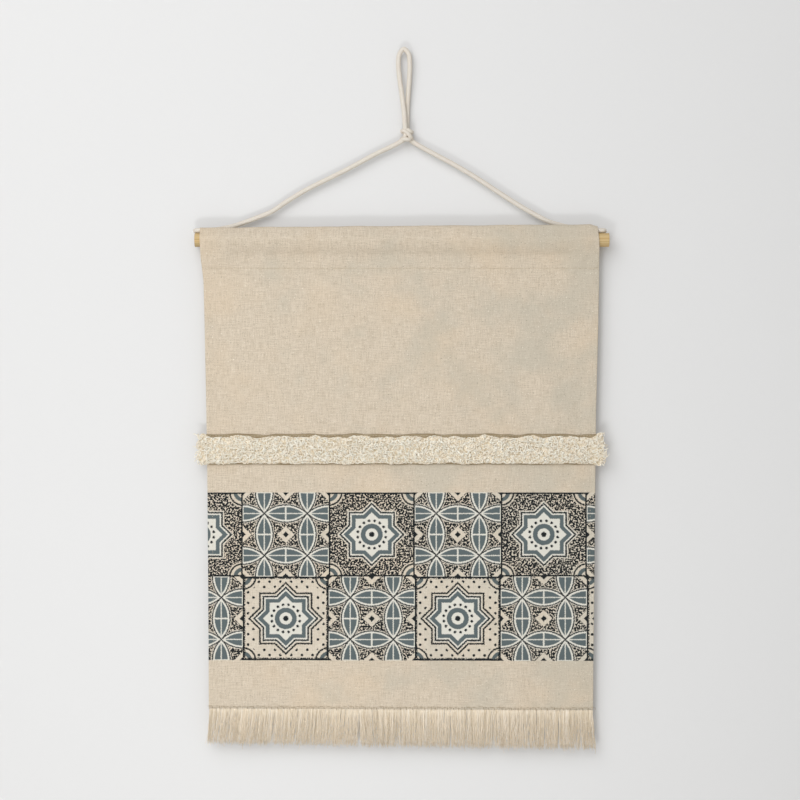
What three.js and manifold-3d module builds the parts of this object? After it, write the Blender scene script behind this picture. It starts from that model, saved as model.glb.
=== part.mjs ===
// Tapestry wall hanging: a canvas panel with a sewn pile band and a fringed hem, on a wooden
// dowel in a rod pocket, hung from a knotted cotton cord.
// Millimetres. +X to the right, +Z up, the front faces -Y and the wall is on the +Y side.
// The origin is where a nail touches the inside of the hanging loop.
import * as THREE from "three";
import { mergeVertices } from "three/addons/utils/BufferGeometryUtils.js";
import Module from "manifold-3d";

const wasm = await Module();
wasm.setup();

// ---------------------------------------------------------------- driving dimensions
const CORD_D = 6.5; // hanging cord, cotton
const DOWEL_D = 20;
const DOWEL_LENGTH = 600;
const DOWEL_X = -3; // middle of the dowel, a little left of the nail
const DOWEL_Z = -275.5; // axis of the dowel below the nail
const CLOTH_Y = -10; // the plane that the dowel's axis and the cloth hang in
const CLOTH_T = 1.2; // canvas thickness
const SLEEVE_TOP_Z = -256; // fold of the canvas over the rod
const SEAM_Z = -318; // foot of the rod pocket
const HEM_Z = -956; // line where the weave ends and the fringe begins
const FRINGE_END_Z = -1010;
const PILE_Z = -579; // middle of the pile band
const KNOT = { x: 4, z: -122 }; // middle of the knot under the hanging loop

// widths of the cloth from top to bottom, and how far its middle is from the nail's plane
const SLEEVE_WIDTH = 577;
const SLEEVE_X = -7;
const PANEL_TOP_WIDTH = 573;
const PANEL_FOOT_WIDTH = 557;
const PANEL_X = -4;

// ---------------------------------------------------------------- fits and small parts
const GAP = 0.3; // between pieces that touch
const HINGE_GAP = 2; // between two lengths of one cloth where it bends
const CORD_SIDES = 10;
const CORD_R = CORD_D / 2;
const DOWEL_R = DOWEL_D / 2;
const HOLE_R = 4; // cord holes through the dowel
const HOLE_INSET = 26; // from each end of the dowel to its cord hole
const POCKET_R = 11.2; // inside of the rod pocket round the dowel
const POCKET_TOP_R = 3.8; // inside of the pocket's fold
const HEM_WIDTH = 9; // side hem, folded to the back
const HEM_T = 1;
const THREAD_W = 0.9;
const THREAD_T = 0.5;
const TAPE_HEIGHT = 44;
const TAPE_T = 1;
const TAPE_WIDTH = 575;
const PILE_WIDTH = 597;
const PILE_HEIGHT = 48;
const PILE_DEPTH = 9;
const FRINGE_T = 2;
const FRINGE_FLARE = 5; // how far the outer yarns lean out at their tips
// edges of the fringe's bunches, as shares of the width, and how far apart their tips are
const BUNCH_EDGES = [0, 0.39, 0.49, 0.63, 0.742, 0.912, 0.953, 1];
const BUNCH_TIP_GAPS = [0, 14, 4, 4, 5, 6, 4, 0];

const DOWEL_LEFT = DOWEL_X - DOWEL_LENGTH / 2;
const DOWEL_RIGHT = DOWEL_X + DOWEL_LENGTH / 2;
const PANEL_TOP_Z = SEAM_Z - HINGE_GAP;
const PANEL_FOOT_Z = HEM_Z + HINGE_GAP / 2;
const FRINGE_TOP_Z = HEM_Z - HINGE_GAP / 2;
const PANEL_FRONT_Y = CLOTH_Y - CLOTH_T / 2;
const PANEL_BACK_Y = CLOTH_Y + CLOTH_T / 2;

// ---------------------------------------------------------------- materials
const material = (color, roughness) =>
  new THREE.MeshStandardMaterial({ color, roughness, metalness: 0 });
const canvas = () => material(0xd4c8b2, 0.95);
const thread = () => material(0xa89c88, 0.9);
const cotton = () => material(0xe0dace, 0.95);
const pileYarn = () => material(0xe4d8c0, 1);
const wood = () => material(0xe0c090, 0.55);

// ---------------------------------------------------------------- helpers
const part = new THREE.Group();

function add(name, geometry, finish) {
  const mesh = new THREE.Mesh(geometry, finish);
  mesh.name = name;
  part.add(mesh);
}

const point = (x, y, z) => new THREE.Vector3(x, y, z);
const X_AXIS = point(1, 0, 0);
const Y_AXIS = point(0, 1, 0);
const Z_AXIS = point(0, 0, 1);

// A section drawn in (y, z), drawn out along X from one end to the other.
function alongX(section, fromX, toX) {
  const settings = { depth: toX - fromX, bevelEnabled: false, curveSegments: 10 };
  const geometry = new THREE.ExtrudeGeometry(section, settings);
  geometry.applyMatrix4(new THREE.Matrix4().makeBasis(Y_AXIS, Z_AXIS, X_AXIS));
  return geometry.translate(fromX, 0, 0);
}

// A flat sheet drawn in (x, z) as corner points, from its back face forwards by its thickness.
function sheet(corners, backY, thickness) {
  const outline = new THREE.Shape(corners.map(([x, z]) => new THREE.Vector2(x, z)));
  const settings = { depth: thickness, bevelEnabled: false };
  const geometry = new THREE.ExtrudeGeometry(outline, settings);
  const forwards = Y_AXIS.clone().negate();
  geometry.applyMatrix4(new THREE.Matrix4().makeBasis(X_AXIS, Z_AXIS, forwards));
  return geometry.translate(0, backY, 0);
}

// A length of cord along a smooth curve through its points.
function cord(points, steps) {
  const outline = new THREE.Shape();
  for (let i = 0; i < CORD_SIDES; i++) {
    const angle = (i / CORD_SIDES) * 2 * Math.PI;
    const corner = [CORD_R * Math.cos(angle), CORD_R * Math.sin(angle)];
    if (i === 0) outline.moveTo(...corner);
    else outline.lineTo(...corner);
  }
  const extrudePath = new THREE.CatmullRomCurve3(points, false, "centripetal");
  return new THREE.ExtrudeGeometry(outline, { steps, bevelEnabled: false, extrudePath });
}

function solidOf(geometry) {
  const bare = geometry.clone();
  bare.deleteAttribute("normal");
  bare.deleteAttribute("uv");
  const merged = mergeVertices(bare, 1e-3);
  return new wasm.Manifold(
    new wasm.Mesh({
      numProp: 3,
      vertProperties: merged.attributes.position.array,
      triVerts: new Uint32Array(merged.index.array),
    }),
  );
}

function geometryOf(solid) {
  const mesh = solid.getMesh();
  const geometry = new THREE.BufferGeometry();
  geometry.setAttribute("position", new THREE.BufferAttribute(mesh.vertProperties, 3));
  geometry.setIndex(new THREE.BufferAttribute(mesh.triVerts, 1));
  geometry.computeVertexNormals();
  return geometry;
}

// ---------------------------------------------------------------- dowel
// A round rod with a cord hole drilled down through it near each end.
function makeDowel() {
  const rod = new THREE.CylinderGeometry(DOWEL_R, DOWEL_R, DOWEL_LENGTH, 40);
  rod.rotateZ(Math.PI / 2).translate(DOWEL_X, CLOTH_Y, DOWEL_Z);
  let solid = solidOf(rod);
  for (const x of [DOWEL_LEFT + HOLE_INSET, DOWEL_RIGHT - HOLE_INSET]) {
    const drill = new THREE.CylinderGeometry(HOLE_R, HOLE_R, DOWEL_D * 2, 24);
    drill.rotateX(Math.PI / 2).translate(x, CLOTH_Y, DOWEL_Z);
    solid = solid.subtract(solidOf(drill));
  }
  add("dowel", geometryOf(solid), wood());
}

// ---------------------------------------------------------------- rod pocket
// The loop of canvas round the dowel: a small fold on top, a wide arc round the rod, and flat
// flanks down to the seam. The same outline is drawn for both faces of the cloth.
function pocketOutline(path, topR, rodR, footHalf, footZ) {
  const topZ = SLEEVE_TOP_Z - CLOTH_T - POCKET_TOP_R; // middle of the fold's arc
  const rise = topZ - DOWEL_Z;
  const drop = DOWEL_Z - footZ;
  const upper = Math.asin((rodR - topR) / rise); // lean of the flank above the rod
  const lower = Math.atan((rodR - footHalf) / drop); // lean of the flank below the rod
  path.moveTo(CLOTH_Y - footHalf, footZ);
  path.lineTo(CLOTH_Y + footHalf, footZ);
  path.absarc(CLOTH_Y, DOWEL_Z, rodR, -lower, upper);
  path.absarc(CLOTH_Y, topZ, topR, upper, Math.PI - upper);
  path.absarc(CLOTH_Y, DOWEL_Z, rodR, Math.PI - upper, Math.PI + lower);
  path.closePath();
}

function makeSleeve() {
  const outer = new THREE.Shape();
  pocketOutline(outer, POCKET_TOP_R + CLOTH_T, POCKET_R + CLOTH_T, CLOTH_T, SEAM_Z);
  const inner = new THREE.Path();
  const insideFoot = 0.5; // half the pocket's width where the two layers meet
  pocketOutline(inner, POCKET_TOP_R, POCKET_R, insideFoot, SEAM_Z + 8);
  outer.holes.push(inner);
  const left = SLEEVE_X - SLEEVE_WIDTH / 2;
  add("rod_sleeve", alongX(outer, left, left + SLEEVE_WIDTH), canvas());
  const front = CLOTH_Y - CLOTH_T - 1;
  const line = threadLine(front - GAP, SEAM_Z + 2);
  add("sleeve_seam_thread", alongX(line, left + 2, left + SLEEVE_WIDTH - 2), thread());
}

// ---------------------------------------------------------------- threads
// The section of a straight row of stitches, with its back at a given y.
function threadLine(backY, z) {
  const line = new THREE.Shape();
  line.moveTo(backY, z - THREAD_W / 2);
  line.lineTo(backY, z + THREAD_W / 2);
  line.lineTo(backY - THREAD_T, z + THREAD_W / 4);
  line.lineTo(backY - THREAD_T, z - THREAD_W / 4);
  line.closePath();
  return line;
}

// ---------------------------------------------------------------- canvas panel
const panelHalfWidth = (z) => {
  const share = (PANEL_TOP_Z - z) / (PANEL_TOP_Z - PANEL_FOOT_Z);
  return THREE.MathUtils.lerp(PANEL_TOP_WIDTH, PANEL_FOOT_WIDTH, share) / 2;
};

// A strip that follows the panel's slanted edge, side -1 on the left and 1 on the right.
function edgeStrip(side, inset, width, topZ, footZ) {
  const edge = (z, in_) => [PANEL_X + side * (panelHalfWidth(z) - in_), z];
  return [
    edge(topZ, inset),
    edge(topZ, inset + width),
    edge(footZ, inset + width),
    edge(footZ, inset),
  ];
}

function makePanel() {
  const top = panelHalfWidth(PANEL_TOP_Z);
  const foot = panelHalfWidth(PANEL_FOOT_Z);
  const corners = [
    [PANEL_X - top, PANEL_TOP_Z],
    [PANEL_X + top, PANEL_TOP_Z],
    [PANEL_X + foot, PANEL_FOOT_Z],
    [PANEL_X - foot, PANEL_FOOT_Z],
  ];
  add("canvas_panel", sheet(corners, PANEL_BACK_Y, CLOTH_T), canvas());
}

function makeSideHems() {
  const topZ = PANEL_TOP_Z - 3;
  const footZ = PANEL_FOOT_Z + 3;
  const backY = PANEL_BACK_Y + GAP + HEM_T;
  for (const [name, side] of [["left", -1], ["right", 1]]) {
    const strip = edgeStrip(side, 0, HEM_WIDTH, topZ, footZ);
    add(`side_hem_${name}`, sheet(strip, backY, HEM_T), canvas());
    const line = edgeStrip(side, HEM_WIDTH - 2.5, THREAD_W, topZ - 1, footZ + 1);
    const threadBack = PANEL_FRONT_Y - GAP;
    add(`hem_thread_${name}`, sheet(line, threadBack, THREAD_T), thread());
  }
}

// ---------------------------------------------------------------- pile band
// A woven tape sewn across the panel by two rows of stitches, and the pile that stands on it.
function makePileBand() {
  const tapeBack = PANEL_FRONT_Y - GAP - THREAD_T - GAP;
  const tapeFront = tapeBack - TAPE_T;
  const left = PANEL_X - TAPE_WIDTH / 2;
  const tape = [
    [left, PILE_Z - TAPE_HEIGHT / 2],
    [left + TAPE_WIDTH, PILE_Z - TAPE_HEIGHT / 2],
    [left + TAPE_WIDTH, PILE_Z + TAPE_HEIGHT / 2],
    [left, PILE_Z + TAPE_HEIGHT / 2],
  ];
  add("pile_tape", sheet(tape, tapeBack, TAPE_T), canvas());

  const rowZ = TAPE_HEIGHT / 2 - 2.5; // of each row of stitches above or below the middle
  for (const [name, side] of [["upper", 1], ["lower", -1]]) {
    const line = threadLine(tapeFront - GAP, PILE_Z + side * rowZ);
    const geometry = alongX(line, left + 2, left + TAPE_WIDTH - 2);
    add(`pile_thread_${name}`, geometry, thread());
  }

  // The pile is narrow at its foot and spreads over the stitches to a round front.
  const footHalf = rowZ - THREAD_W - 1;
  const footY = tapeFront - GAP;
  const spreadY = footY - THREAD_T - 1;
  const frontY = footY - PILE_DEPTH;
  const half = PILE_HEIGHT / 2;
  const pile = new THREE.Shape();
  pile.moveTo(footY, PILE_Z - footHalf);
  pile.lineTo(footY, PILE_Z + footHalf);
  pile.lineTo(spreadY, PILE_Z + footHalf);
  pile.lineTo(spreadY, PILE_Z + half);
  pile.quadraticCurveTo(frontY, PILE_Z + half, frontY, PILE_Z + half * 0.6);
  pile.lineTo(frontY, PILE_Z - half * 0.6);
  pile.quadraticCurveTo(frontY, PILE_Z - half, spreadY, PILE_Z - half);
  pile.lineTo(spreadY, PILE_Z - footHalf);
  pile.closePath();
  const pileLeft = PANEL_X - PILE_WIDTH / 2;
  add("pile_tufts", alongX(pile, pileLeft, pileLeft + PILE_WIDTH), pileYarn());
}

// ---------------------------------------------------------------- fringe
// The warp ends below the hem, in bunches that part towards their tips.
function makeFringe() {
  const topHalf = PANEL_FOOT_WIDTH / 2;
  const last = BUNCH_EDGES.length - 1;
  const edgeX = (i) => PANEL_X + (2 * BUNCH_EDGES[i] - 1) * topHalf;
  const leanX = (i) => (2 * BUNCH_EDGES[i] - 1) * FRINGE_FLARE;
  for (let i = 0; i < last; i++) {
    const inset = (side) => (side === 0 || side === last ? 0 : GAP);
    const leftTop = edgeX(i) + inset(i);
    const rightTop = edgeX(i + 1) - inset(i + 1);
    const leftTip = leftTop + leanX(i) + BUNCH_TIP_GAPS[i] / 2;
    const rightTip = rightTop + leanX(i + 1) - BUNCH_TIP_GAPS[i + 1] / 2;
    const corners = [
      [leftTop, FRINGE_TOP_Z],
      [rightTop, FRINGE_TOP_Z],
      [rightTip, FRINGE_END_Z],
      [leftTip, FRINGE_END_Z],
    ];
    const geometry = sheet(corners, CLOTH_Y + FRINGE_T / 2, FRINGE_T);
    add(`fringe_bunch_${i + 1}`, geometry, canvas());
  }
  const lineLeft = PANEL_X - topHalf + 2;
  const line = threadLine(PANEL_FRONT_Y - GAP, PANEL_FOOT_Z + 2);
  add("fringe_edge_thread", alongX(line, lineLeft, lineLeft + PANEL_FOOT_WIDTH - 4), thread());
}

// ---------------------------------------------------------------- hanging cord
// One cotton cord: up from each end of the dowel to the knot, and on into the hanging loop.
const TIE_Z = SLEEVE_TOP_Z - 5.6; // height of the cord over the dowel, in the pocket's fold

function makeHangerCord() {
  const left = [
    point(-284.4, 0, -261.4),
    point(-270, 0, -259),
    point(-249, 0, -254.6),
    point(-217.5, 0, -243.6),
    point(-193, 0, -233.5),
    point(-168, 0, -217),
    point(-141, 0, -201),
    point(-113, 0, -187),
    point(-84, 0, -172.6),
    point(-41, 0, -149.5),
    point(-5, 0, -133),
  ];
  const right = [
    point(277.4, 0, -261.4),
    point(262, 0, -259.5),
    point(240, 0, -256),
    point(211, 0, -248),
    point(186, 0, -235),
    point(162, 0, -221),
    point(132, 0, -201.6),
    point(101.5, 0, -181.8),
    point(71, 0, -163.9),
    point(44, 0, -149.5),
    point(13.5, 0, -133),
  ];
  add("hanger_cord_left", cord(left, 20), cotton());
  add("hanger_cord_right", cord(right, 20), cotton());
}

function makeHangingLoop() {
  const loop = [
    point(1.5, -3.5, -109),
    point(0.8, -3.5, -95),
    point(-0.8, -3.2, -80),
    point(-3.5, -2.4, -60),
    point(-6.5, -1.3, -38),
    point(-8, -0.4, -18),
    point(-6.4, 0, -4),
    point(0, 0, CORD_R),
    point(6.8, 0, -4),
    point(8.6, 0.4, -18),
    point(8, 1.3, -38),
    point(6.5, 2.4, -60),
    point(5.2, 3.2, -80),
    point(4.8, 3.5, -95),
    point(4.7, 3.5, -109),
  ];
  add("hanging_loop", cord(loop, 24), cotton());
}

// The knot that gathers both cords under the loop, as its outer form.
function makeApexKnot() {
  const knot = new THREE.SphereGeometry(1, 16, 10);
  knot.rotateX(Math.PI / 2).scale(10, 8.5, 12).translate(KNOT.x, 0, KNOT.z);
  add("apex_knot", knot, cotton());
}

// Each cord end turns round the pocket's mouth, runs in over the dowel, drops through the
// hole and is stopped by a knot under it. side is -1 on the left and 1 on the right.
function makeCordEnd(name, side, startX, turnX, holeX) {
  const turnR = -CLOTH_Y / 2;
  const inside = holeX + side * 7;
  const path = [
    point(startX, 0, TIE_Z),
    point(turnX - side * turnR, 0, TIE_Z),
    point(turnX - side * turnR * 0.3, CLOTH_Y * 0.15, TIE_Z),
    point(turnX, CLOTH_Y / 2, TIE_Z),
    point(turnX - side * turnR * 0.3, CLOTH_Y * 0.85, TIE_Z),
    point(turnX - side * turnR, CLOTH_Y, TIE_Z),
    point(inside, CLOTH_Y, TIE_Z),
    point(holeX + side * 1.4, CLOTH_Y, TIE_Z - 0.9),
    point(holeX, CLOTH_Y, DOWEL_Z + DOWEL_R),
    point(holeX, CLOTH_Y, DOWEL_Z),
    point(holeX, CLOTH_Y, DOWEL_Z - DOWEL_R - 0.6),
  ];
  add(`cord_tie_${name}`, cord(path, 18), cotton());
  const stopper = new THREE.SphereGeometry(1, 12, 8);
  const stopperZ = DOWEL_Z - DOWEL_R - 6.2;
  stopper.rotateX(Math.PI / 2).scale(6.5, 5.2, 5.2).translate(holeX, CLOTH_Y, stopperZ);
  add(`stopper_knot_${name}`, stopper, cotton());
}

makeDowel();
makeSleeve();
makePanel();
makeSideHems();
makePileBand();
makeFringe();
makeHangerCord();
makeHangingLoop();
makeApexKnot();
makeCordEnd("left", -1, -285, -302.8, DOWEL_LEFT + HOLE_INSET);
makeCordEnd("right", 1, 278, 291, DOWEL_RIGHT - HOLE_INSET);

export default part;
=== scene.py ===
"""The looks of the canvas wall hanging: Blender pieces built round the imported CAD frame.

Everything is in metres in the CAD's own frame: +Z up, +X to the viewer's right, the front faces -Y and the
wall is on the +Y side. Sizes come from the CAD boxes or from the named values below.
"""

import math
from functools import partial, reduce

import bpy
import numpy as np
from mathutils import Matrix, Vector, noise


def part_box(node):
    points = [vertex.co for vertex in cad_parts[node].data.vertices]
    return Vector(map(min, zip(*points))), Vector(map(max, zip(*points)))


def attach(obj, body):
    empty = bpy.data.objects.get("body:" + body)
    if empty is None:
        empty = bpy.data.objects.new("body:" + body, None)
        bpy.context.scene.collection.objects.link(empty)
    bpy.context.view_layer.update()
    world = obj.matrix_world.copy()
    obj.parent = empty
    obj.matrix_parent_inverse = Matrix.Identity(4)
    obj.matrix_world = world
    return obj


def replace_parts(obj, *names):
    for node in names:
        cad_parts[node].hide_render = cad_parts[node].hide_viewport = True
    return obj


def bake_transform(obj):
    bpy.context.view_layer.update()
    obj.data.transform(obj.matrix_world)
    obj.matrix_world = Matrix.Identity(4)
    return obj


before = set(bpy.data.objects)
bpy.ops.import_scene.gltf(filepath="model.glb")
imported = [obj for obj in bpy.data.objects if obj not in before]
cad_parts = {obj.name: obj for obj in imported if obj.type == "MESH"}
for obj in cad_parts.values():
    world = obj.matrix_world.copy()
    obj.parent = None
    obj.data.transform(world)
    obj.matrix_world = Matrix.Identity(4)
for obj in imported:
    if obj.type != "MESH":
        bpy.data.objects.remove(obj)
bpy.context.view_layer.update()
MM = 0.001
random = np.random.default_rng(11)

# ---- driving sizes, from the CAD boxes

dowel_low, dowel_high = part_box("dowel")
sleeve_low, sleeve_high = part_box("rod_sleeve")
panel_low, panel_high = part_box("canvas_panel")
tape_low, tape_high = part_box("pile_tape")
knot_low, knot_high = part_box("apex_knot")
fringe_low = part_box("fringe_bunch_1")[0]

CLOTH_Y = (panel_low.y + panel_high.y) / 2
ROD_Z = (dowel_low.z + dowel_high.z) / 2
POCKET_R = (sleeve_high.y - sleeve_low.y) / 2
CREASE_Z = sleeve_high.z
SEAM_Z = sleeve_low.z + 1.5 * MM
HEM_Z = panel_low.z - 1 * MM
FRINGE_END_Z = fringe_low.z
KNOT = (knot_low + knot_high) / 2

CLOTH_T = 0.85 * MM
FOLD_R = 0.47 * MM
HEM_WIDTH = 9 * MM
CREASE_R = 4.9 * MM
FLAP_END = 2.5 * MM

# The side edges lean in a little on the way down: (z, x) in metres.
LEFT_EDGE = [(-0.956, -0.2826), (-0.885, -0.2828), (-0.641, -0.2845), (-0.528, -0.2862),
             (-0.391, -0.2889), (-0.335, -0.2903), (-0.300, -0.2942), (-0.250, -0.2955)]
RIGHT_EDGE = [(-0.956, 0.2741), (-0.885, 0.2743), (-0.641, 0.2770), (-0.528, 0.2780),
              (-0.391, 0.2815), (-0.335, 0.2826), (-0.285, 0.2822), (-0.250, 0.2798)]
# The points of both lists that are at the fringe, at the pile and at the pocket's seam.
AT_FRINGE, AT_PILE, AT_SEAM = 0, 3, 5


def edge_x(edge, z):
    """Where a side edge of the cloth is at height z."""
    heights, places = zip(*edge)
    return np.interp(z, heights, places)


def cloth_ends(point, inset):
    """The first and last x of a row across the cloth, which stops that far inside both edges."""
    return LEFT_EDGE[point][1] + inset, RIGHT_EDGE[point][1] - inset


def smooth_step(low, high, x):
    """0 before low, 1 after high, and a smooth rise between them."""
    t = np.clip((np.asarray(x, float) - low) / (high - low), 0, 1)
    return t * t * (3 - 2 * t)


def wander(x, seed, size):
    """A slow smooth wave along x, about -1 to 1, whose bumps are about size long."""
    phases = np.random.default_rng(seed).uniform(0, 2 * math.pi, 4)
    waves = [math.sqrt(0.5) ** k * np.sin(x * (1 + 0.73 * k) * math.pi / size + phases[k]) for k in range(4)]
    return sum(waves) / 1.7


# ---- mesh helpers


def new_object(name, data):
    """An object in the scene for this mesh, light or camera."""
    made = bpy.data.objects.new(name, data)
    bpy.context.scene.collection.objects.link(made)
    return made


def mesh_piece(name, points, faces, material):
    """A smooth mesh of these points and faces, with its material."""
    mesh = bpy.data.meshes.new(name)
    mesh.from_pydata(points.tolist(), [], faces)
    mesh.polygons.foreach_set("use_smooth", [True] * len(mesh.polygons))
    mesh.update()
    mesh.materials.append(material)
    return new_object(name, mesh)


def point_values(piece, name, values):
    """Stores a number, or three, at each point of the mesh for its material to read."""
    values = np.asarray(values, np.float32)
    kind = "FLOAT" if values.ndim == 1 else "FLOAT_VECTOR"
    layer = piece.data.attributes.new(name, kind, "POINT")
    layer.data.foreach_set("value" if kind == "FLOAT" else "vector", values.ravel())


def unit(vectors):
    return vectors / np.maximum(np.linalg.norm(vectors, axis=-1, keepdims=True), 1e-12)


def side_vectors(lines):
    """Two directions square to each line at each of its points, which don't spin along it.

    lines: (n, points, 3).
    """
    tangents = unit(np.gradient(lines, axis=1))
    first = tangents[:, 0]
    helper = np.where(np.abs(first[:, 1:2]) < 0.8, [[0.0, 1.0, 0.0]], [[1.0, 0.0, 0.0]])
    side = unit(np.cross(first, helper))
    sides = []
    for k in range(lines.shape[1]):
        along = tangents[:, k]
        side = unit(side - along * (side * along).sum(-1, keepdims=True))
        sides.append(side)
    sides = np.stack(sides, axis=1)
    return sides, np.cross(tangents, sides)


def tube_faces(tubes, points, sides):
    """The side faces and end caps of that many tubes, whose rings follow each other in the point list."""
    ring = np.arange(sides)
    after = np.roll(ring, -1)
    first = np.arange(tubes)[:, None] * points * sides
    starts = first + np.arange(points - 1)[None, :] * sides
    walls = starts.reshape(-1, 1, 1) + np.stack([ring, after, after + sides, ring + sides], -1)[None]
    first_caps = (first + ring[::-1]).tolist()
    last_caps = (first + (points - 1) * sides + ring).tolist()
    return walls.reshape(-1, 4).tolist() + first_caps + last_caps


def tubes(lines, radii, sides):
    """Points and faces of many thin tubes at once. lines: (n, points, 3), radii: (n, points)."""
    right, up = side_vectors(lines)
    turn = np.arange(sides) * 2 * math.pi / sides
    rings = right[:, :, None] * np.cos(turn)[:, None] + up[:, :, None] * np.sin(turn)[:, None]
    points = lines[:, :, None] + rings * radii[:, :, None, None]
    return points.reshape(-1, 3), tube_faces(lines.shape[0], lines.shape[1], sides)


def distance_along(line):
    """How far each point of a line is from its start, along the line."""
    return np.concatenate([[0], np.cumsum(np.linalg.norm(np.diff(line, axis=0), axis=1))])


def even(line, count):
    """The same line as that many evenly spaced points, and how far along it each of them is."""
    along = distance_along(line)
    at = np.linspace(0, along[-1], count)
    return np.stack([np.interp(at, along, line[:, k]) for k in range(line.shape[1])], axis=1), at


def between(t, start, end, first, last):
    """first when t is start and last when t is end, in a straight line."""
    return (end - t) / (end - start) * first + (t - start) / (end - start) * last


def curve_through(points, spacing):
    """An even line of points along the smooth curve (centripetal Catmull-Rom) through the given points."""
    points = np.asarray(points, float)
    guide = np.concatenate([[2 * points[0] - points[1]], points, [2 * points[-1] - points[-2]]])
    spans = []
    for p in zip(guide, guide[1:], guide[2:], guide[3:]):
        steps = [math.sqrt(np.linalg.norm(after - before)) for before, after in zip(p, p[1:])]
        knots = np.cumsum([0.0, *steps])
        t = np.linspace(knots[1], knots[2], 24, endpoint=False)[:, None]
        a = [between(t, knots[k], knots[k + 1], p[k], p[k + 1]) for k in range(3)]
        b = [between(t, knots[k], knots[k + 2], a[k], a[k + 1]) for k in range(2)]
        spans.append(between(t, knots[1], knots[2], b[0], b[1]))
    line = np.concatenate([*spans, points[-1:]])
    count = max(3, round(distance_along(line)[-1] / spacing) + 1)
    return even(line, count)[0]


# ---- node helpers


class Num:
    """A number in a node tree that takes plain arithmetic, so that a pattern reads as a formula."""

    def __init__(self, graph, socket):
        self.graph, self.socket = graph, socket

    def __add__(self, other):
        return self.graph.math("ADD", self, other)

    def __mul__(self, other):
        return self.graph.math("MULTIPLY", self, other)

    def __sub__(self, other):
        return self.graph.math("SUBTRACT", self, other)

    def __rsub__(self, other):
        return self.graph.math("SUBTRACT", other, self)

    def __truediv__(self, other):
        return self.graph.math("DIVIDE", self, other)

    def __abs__(self):
        return self.graph.math("ABSOLUTE", self)

    __radd__ = __add__
    __rmul__ = __mul__


SHEEN_TINT = (1.0, 0.86, 0.68, 1.0)


class Graph:
    """A new material and short calls for the nodes that its patterns use."""

    def __init__(self, name, roughness=0.85, sheen=0.0):
        self.material = bpy.data.materials.new(name)
        self.material.use_nodes = True
        self.tree = self.material.node_tree
        self.shader = self.tree.nodes["Principled BSDF"]
        self.shader.inputs["Roughness"].default_value = roughness
        self.shader.inputs["Specular IOR Level"].default_value = 0.2
        self.shader.inputs["Sheen Weight"].default_value = sheen
        self.shader.inputs["Sheen Tint"].default_value = SHEEN_TINT

    def node(self, kind, inputs=(), **settings):
        """A new node with these settings. inputs: a socket's name or number, and what goes into it."""
        made = self.tree.nodes.new(kind)
        for key, value in settings.items():
            setattr(made, key, value)
        for socket, value in dict(inputs).items():
            self.plug(made.inputs[socket], value)
        return made

    def plug(self, socket, value):
        """Links a value to a socket, or sets the socket to a plain number or colour."""
        if isinstance(value, Num):
            value = value.socket
        if isinstance(value, bpy.types.NodeSocket):
            self.tree.links.new(value, socket)
        else:
            socket.default_value = value

    def math(self, operation, *values, clamp=False):
        made = self.node("ShaderNodeMath", enumerate(values), operation=operation, use_clamp=clamp)
        return Num(self, made.outputs[0])

    def least(self, *values):
        return reduce(partial(self.math, "MINIMUM"), values)

    def most(self, *values):
        return reduce(partial(self.math, "MAXIMUM"), values)

    def sin(self, x):
        return self.math("SINE", x)

    def cos(self, x):
        return self.math("COSINE", x)

    def fract(self, x):
        return self.math("FRACT", x)

    def length(self, x, y):
        return self.math("SQRT", x * x + y * y)

    def inside(self, distance, softness):
        """1 where the distance is below 0, 0 where it is above, with an edge that is softness wide."""
        return self.math("MULTIPLY_ADD", distance, -1 / softness, 0.5, clamp=True)

    def rise(self, value, low, high):
        """0 below low and 1 above high."""
        inputs = {"Value": value, "From Min": low, "From Max": high}
        made = self.node("ShaderNodeMapRange", inputs, interpolation_type="SMOOTHSTEP")
        return Num(self, made.outputs["Result"])

    def place(self):
        """Each point's place in the row frame, in metres."""
        return self.node("ShaderNodeTexCoord").outputs["Object"]

    def stored(self, name):
        """A value that the mesh keeps at its points: the node, for its Vector or Fac output."""
        return self.node("ShaderNodeAttribute", attribute_type="GEOMETRY", attribute_name=name)

    def split(self, vector):
        return [Num(self, socket) for socket in self.node("ShaderNodeSeparateXYZ", {0: vector}).outputs]

    def join(self, x, y, z=0.0):
        return self.node("ShaderNodeCombineXYZ", enumerate((x, y, z))).outputs[0]

    def noise(self, vector, scale, detail=2.0, roughness=0.5):
        inputs = {"Vector": vector, "Scale": scale, "Detail": detail, "Roughness": roughness}
        return Num(self, self.node("ShaderNodeTexNoise", inputs).outputs["Fac"])

    def mix(self, factor, first, second):
        """The first colour at factor 0 and the second at factor 1."""
        made = self.node("ShaderNodeMix", {"Factor": factor}, data_type="RGBA")
        colours = [socket for socket in made.inputs if socket.type == "RGBA"]
        self.plug(colours[0], first)
        self.plug(colours[1], second)
        return next(socket for socket in made.outputs if socket.type == "RGBA")

    def shade(self, colour, height, depth):
        """Gives the shader its colour, and a bump from a height of 0 to 1 that is depth metres deep."""
        self.plug(self.shader.inputs["Base Color"], colour)
        bump = self.node("ShaderNodeBump", {"Strength": 1.0, "Distance": depth, "Height": height})
        self.plug(self.shader.inputs["Normal"], bump.outputs["Normal"])
        return self.material


def rgb(code):
    """A linear colour from a screen colour such as 'd2c6b0'."""
    screen = [int(code[k:k + 2], 16) / 255 for k in (0, 2, 4)]
    linear = [c / 12.92 if c <= 0.04045 else ((c + 0.055) / 1.055) ** 2.4 for c in screen]
    return (*linear, 1.0)


# ---- the printed tiles

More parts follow.
